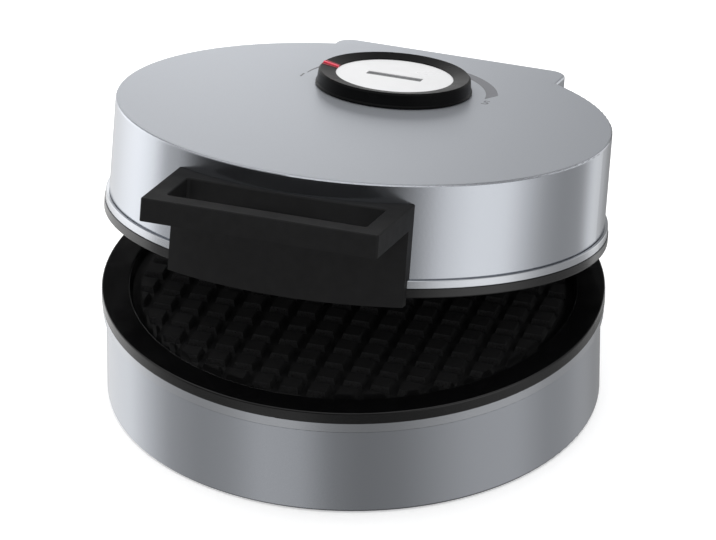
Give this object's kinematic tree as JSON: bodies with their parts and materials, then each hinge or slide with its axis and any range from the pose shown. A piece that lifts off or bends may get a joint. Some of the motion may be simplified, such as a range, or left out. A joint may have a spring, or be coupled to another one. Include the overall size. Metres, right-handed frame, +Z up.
{
  "type": "electric krumkake iron",
  "caption": "Round electric griddle press with a rear-hinged lid, studded cast plates, a loop handle at the front and a thermostat knob on top.",
  "frame": {"origin": "on the bench, under the middle of the whole length and width, with the lid standing ajar by 13.9 degrees", "axes": "+Z up; the handle points to -Y and the hinge is at +Y; X runs along the hinge, +X on the right seen from the handle"},
  "size_m": [0.224, 0.2854, 0.1585],
  "materials": {
    "housing_silver": "satin silver, metallic",
    "trim_silver": "satin silver, metallic",
    "nonstick_cast": "cast aluminium, black non-stick coat",
    "element_sheath": "heat-tinted steel sheath",
    "shield_sheet": "plain sheet",
    "zinc_steel": "zinc-plated",
    "black_rubber": "matt",
    "black_plastic": "matt",
    "handle_black": "fine matt grain",
    "knob_black": "satin",
    "insert_white": "satin",
    "marker_grey": "matt",
    "pointer_red": "matt",
    "ivory_plastic": "matt",
    "fuse_metal": "plain can"
  },
  "bodies": {
    "base": {"base_shell": "housing_silver", "base_trim_ring": "trim_silver", "lower_plate": "nonstick_cast", "lower_heating_element": "element_sheath", "lower_element_clamps": "zinc_steel", "lower_clamp_screws": "zinc_steel", "lower_heat_shield": "shield_sheet", "lower_plate_screws": "zinc_steel", "rubber_feet": "black_rubber", "hinge_pins": "zinc_steel", "cord_inlet_bush": "black_rubber", "cord_clamp": "black_plastic", "cord_clamp_screws": "zinc_steel", "terminal_block": "ivory_plastic"},
    "lid": {"lid_shell": "housing_silver", "lid_frame": "trim_silver", "upper_plate": "nonstick_cast", "upper_heating_element": "element_sheath", "upper_element_clamps": "zinc_steel", "upper_clamp_screws": "zinc_steel", "upper_heat_shield": "shield_sheet", "upper_plate_screws": "zinc_steel", "thermal_fuse": "fuse_metal", "fuse_clip": "zinc_steel", "fuse_screw": "zinc_steel", "handle": "handle_black", "handle_screws": "zinc_steel", "thermostat_bracket": "zinc_steel", "thermostat_body": "ivory_plastic", "thermostat_screws": "zinc_steel"},
    "knob": {"knob_ring": "knob_black", "knob_insert": "insert_white", "knob_marker": "marker_grey", "knob_pointer": "pointer_red", "thermostat_spindle": "zinc_steel"}
  },
  "joints": [
    {"name": "lid_hinge", "type": "hinge", "parent": "base", "child": "lid", "pos_m": [0, 0.1134, 0.05235], "axis": [-1, 0, 0], "range_deg": [-13.9, 76.1]},
    {"name": "knob_turn", "type": "hinge", "parent": "lid", "child": "knob", "pos_m": [0, 0.05089, 0.12031], "axis": [0, -0.2402, -0.9707], "range_deg": [0, 180]}
  ]
}
